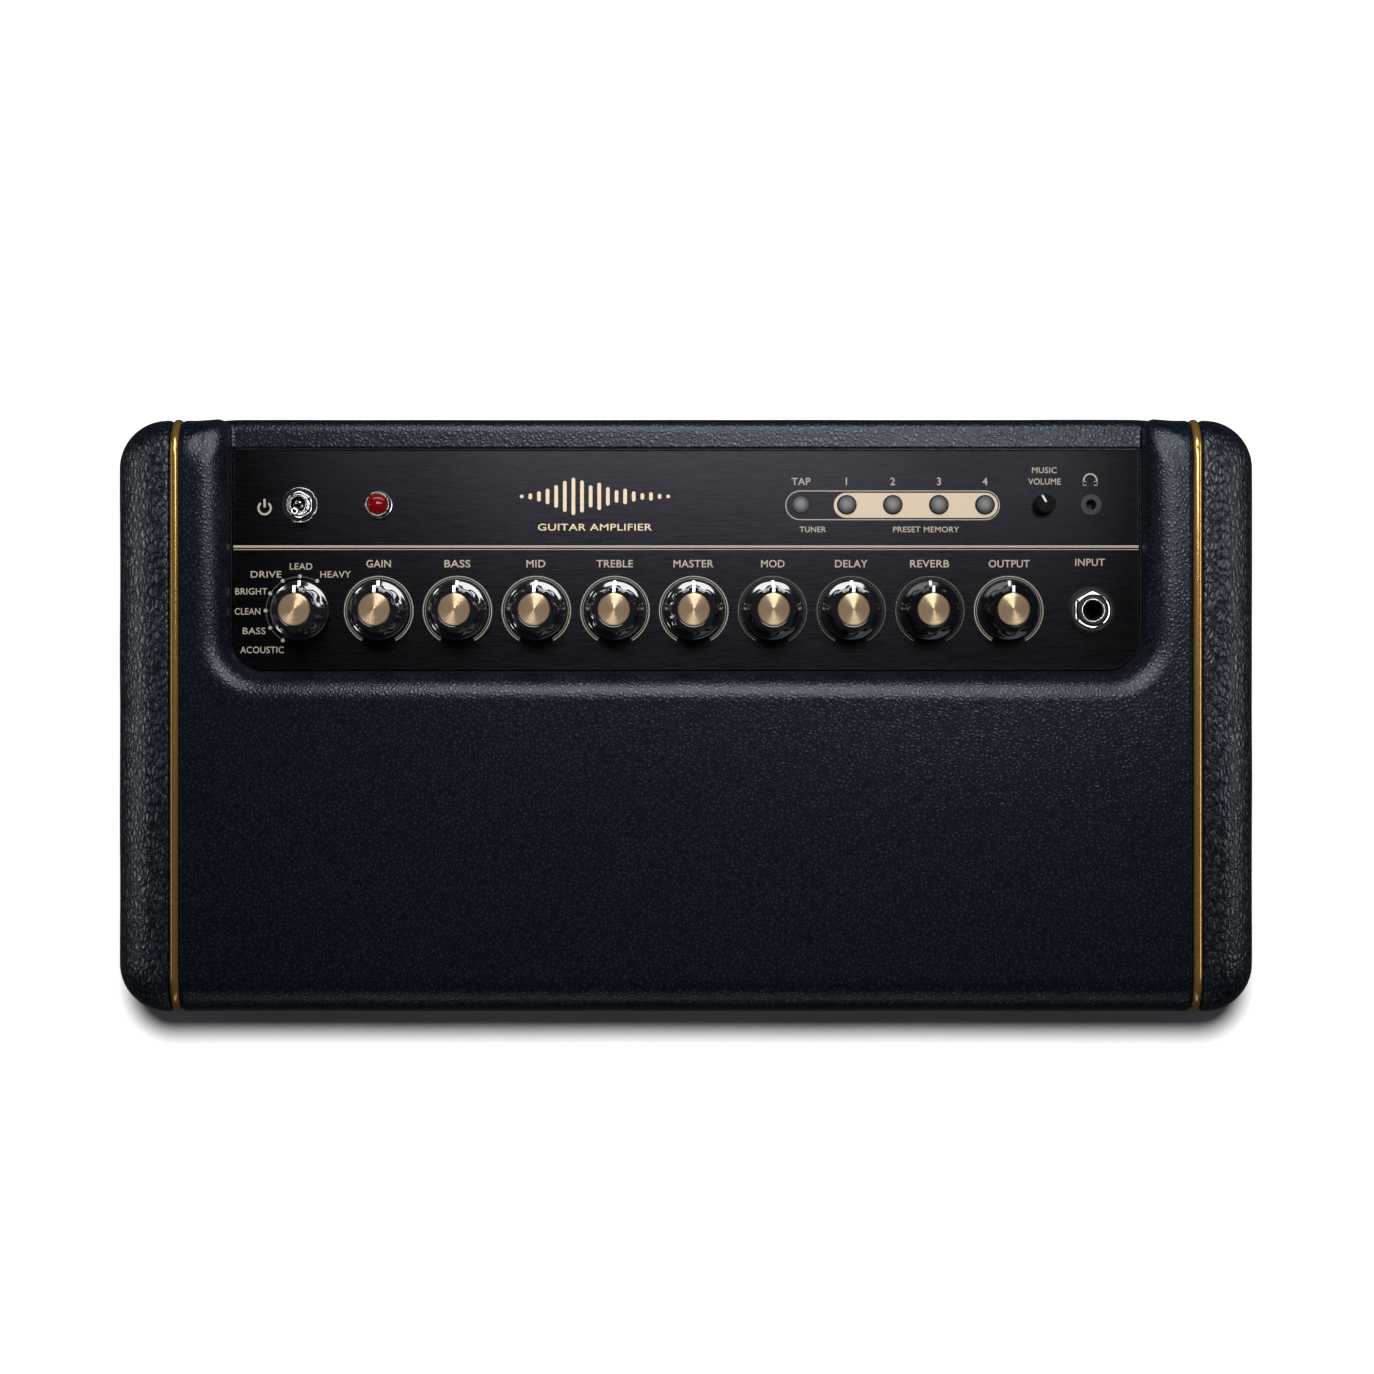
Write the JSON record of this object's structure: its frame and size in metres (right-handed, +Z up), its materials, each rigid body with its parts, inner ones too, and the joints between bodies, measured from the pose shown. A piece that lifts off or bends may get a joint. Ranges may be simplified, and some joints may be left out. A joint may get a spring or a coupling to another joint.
{
  "type": "guitar practice amplifier",
  "caption": "Compact guitar amplifier in navy vinyl with gold piping: knobs, switches and jacks on a panel recessed in its top, a cloth grille in front and a vented back.",
  "frame": {"origin": "on the floor, under the centre of the cabinet's footprint", "axes": "+X to the player's right when facing the grille, +Y to the back of the amplifier, +Z up; the grille faces -Y"},
  "size_m": [0.38, 0.1996, 0.2049],
  "materials": {
    "painted_board": "matte",
    "navy_vinyl": "pebbled",
    "gold_piping": "satin",
    "black_panel": "brushed",
    "zinc_steel": "satin",
    "circuit_board": "satin",
    "dark_metal": "satin",
    "chrome": "polished",
    "red_lens": "gloss",
    "black_plastic": "satin",
    "gloss_black_plastic": "gloss",
    "gold_cap": "spun",
    "grille_cloth": "woven",
    "black_steel": "satin",
    "ferrite": "matte",
    "soft_rubber": "matte",
    "cone_paper": "matte",
    "frosted_button": "frosted",
    "lead_sleeve": "satin"
  },
  "bodies": {
    "cabinet": {"amplifier_board": "circuit_board", "case_screws": "dark_metal", "centre_carcass": "painted_board", "centre_vinyl_cover": "navy_vinyl", "connector_plate": "black_panel", "control_board": "circuit_board", "control_panel": "black_panel", "dc_power_jack": "black_plastic", "driver_leads": "lead_sleeve", "end_cheeks": "painted_board", "end_vinyl_covers": "navy_vinyl", "front_baffle": "painted_board", "gold_piping": "gold_piping", "grille_cloth": "grille_cloth", "grille_frame": "painted_board", "headphone_jack": "dark_metal", "indicator_bezel": "chrome", "indicator_lens": "red_lens", "input_jack": "black_plastic", "input_jack_nut": "chrome", "panel_tub": "zinc_steel", "port_tube": "black_plastic", "potentiometers": "zinc_steel", "power_toggle_body": "dark_metal", "rear_panel": "painted_board", "rubber_feet": "soft_rubber", "speaker_baskets": "black_steel", "speaker_magnets": "ferrite", "speaker_screws": "dark_metal", "speaker_surrounds": "soft_rubber", "usb_socket": "zinc_steel"},
    "amp_type_control": {"amp_type_knob": "gloss_black_plastic", "amp_type_knob_cap": "gold_cap"},
    "gain_control": {"gain_knob": "gloss_black_plastic", "gain_knob_cap": "gold_cap"},
    "bass_control": {"bass_knob": "gloss_black_plastic", "bass_knob_cap": "gold_cap"},
    "mid_control": {"mid_knob": "gloss_black_plastic", "mid_knob_cap": "gold_cap"},
    "treble_control": {"treble_knob": "gloss_black_plastic", "treble_knob_cap": "gold_cap"},
    "master_control": {"master_knob": "gloss_black_plastic", "master_knob_cap": "gold_cap"},
    "mod_control": {"mod_knob": "gloss_black_plastic", "mod_knob_cap": "gold_cap"},
    "delay_control": {"delay_knob": "gloss_black_plastic", "delay_knob_cap": "gold_cap"},
    "reverb_control": {"reverb_knob": "gloss_black_plastic", "reverb_knob_cap": "gold_cap"},
    "output_control": {"output_knob": "gloss_black_plastic", "output_knob_cap": "gold_cap"},
    "music_volume_control": {"music_volume_knob": "black_plastic"},
    "power_toggle": {"power_toggle_lever": "chrome"},
    "tap_button": {"tap_button": "frosted_button"},
    "preset_1_button": {"preset_1_button": "frosted_button"},
    "preset_2_button": {"preset_2_button": "frosted_button"},
    "preset_3_button": {"preset_3_button": "frosted_button"},
    "preset_4_button": {"preset_4_button": "frosted_button"},
    "left_cone": {"left_speaker_cone": "cone_paper"},
    "right_cone": {"right_speaker_cone": "cone_paper"}
  },
  "joints": [
    {"name": "amp_type_turn", "type": "hinge", "parent": "cabinet", "child": "amp_type_control", "pos_m": [-0.1299, 0.0354, 0.196], "axis": [0, 0, 1], "range_deg": [-30, 150]},
    {"name": "gain_turn", "type": "hinge", "parent": "cabinet", "child": "gain_control", "pos_m": [-0.1034, 0.0354, 0.196], "axis": [0, 0, 1], "range_deg": [-150, 150]},
    {"name": "bass_turn", "type": "hinge", "parent": "cabinet", "child": "bass_control", "pos_m": [-0.0769, 0.0354, 0.196], "axis": [0, 0, 1], "range_deg": [-150, 150]},
    {"name": "mid_turn", "type": "hinge", "parent": "cabinet", "child": "mid_control", "pos_m": [-0.0504, 0.0354, 0.196], "axis": [0, 0, 1], "range_deg": [-150, 150]},
    {"name": "treble_turn", "type": "hinge", "parent": "cabinet", "child": "treble_control", "pos_m": [-0.0239, 0.0354, 0.196], "axis": [0, 0, 1], "range_deg": [-150, 150]},
    {"name": "master_turn", "type": "hinge", "parent": "cabinet", "child": "master_control", "pos_m": [0.0026, 0.0354, 0.196], "axis": [0, 0, 1], "range_deg": [-150, 150]},
    {"name": "mod_turn", "type": "hinge", "parent": "cabinet", "child": "mod_control", "pos_m": [0.0291, 0.0354, 0.196], "axis": [0, 0, 1], "range_deg": [-150, 150]},
    {"name": "delay_turn", "type": "hinge", "parent": "cabinet", "child": "delay_control", "pos_m": [0.0556, 0.0354, 0.196], "axis": [0, 0, 1], "range_deg": [-150, 150]},
    {"name": "reverb_turn", "type": "hinge", "parent": "cabinet", "child": "reverb_control", "pos_m": [0.0821, 0.0354, 0.196], "axis": [0, 0, 1], "range_deg": [-150, 150]},
    {"name": "output_turn", "type": "hinge", "parent": "cabinet", "child": "output_control", "pos_m": [0.1086, 0.0354, 0.196], "axis": [0, 0, 1], "range_deg": [-150, 150]},
    {"name": "music_volume_turn", "type": "hinge", "parent": "cabinet", "child": "music_volume_control", "pos_m": [0.1204, 0.071, 0.192], "axis": [0, 0, 1], "range_deg": [-180, 120]},
    {"name": "power_toggle_throw", "type": "hinge", "parent": "cabinet", "child": "power_toggle", "pos_m": [-0.1299, 0.071, 0.19], "axis": [1, 0, 0], "range_deg": [-26, 0]},
    {"name": "tap_press", "type": "slide", "parent": "cabinet", "child": "tap_button", "axis": [0, 0, -1], "range_m": [0, 0.0008]},
    {"name": "preset_1_press", "type": "slide", "parent": "cabinet", "child": "preset_1_button", "axis": [0, 0, -1], "range_m": [0, 0.0008]},
    {"name": "preset_2_press", "type": "slide", "parent": "cabinet", "child": "preset_2_button", "axis": [0, 0, -1], "range_m": [0, 0.0008]},
    {"name": "preset_3_press", "type": "slide", "parent": "cabinet", "child": "preset_3_button", "axis": [0, 0, -1], "range_m": [0, 0.0008]},
    {"name": "preset_4_press", "type": "slide", "parent": "cabinet", "child": "preset_4_button", "axis": [0, 0, -1], "range_m": [0, 0.0008]},
    {"name": "left_cone_excursion", "type": "slide", "parent": "cabinet", "child": "left_cone", "axis": [0, -1, 0], "range_m": [-0.002, 0.002], "deforming": ["speaker_surrounds"]},
    {"name": "right_cone_excursion", "type": "slide", "parent": "cabinet", "child": "right_cone", "axis": [0, -1, 0], "range_m": [-0.002, 0.002], "deforming": ["speaker_surrounds"]}
  ]
}
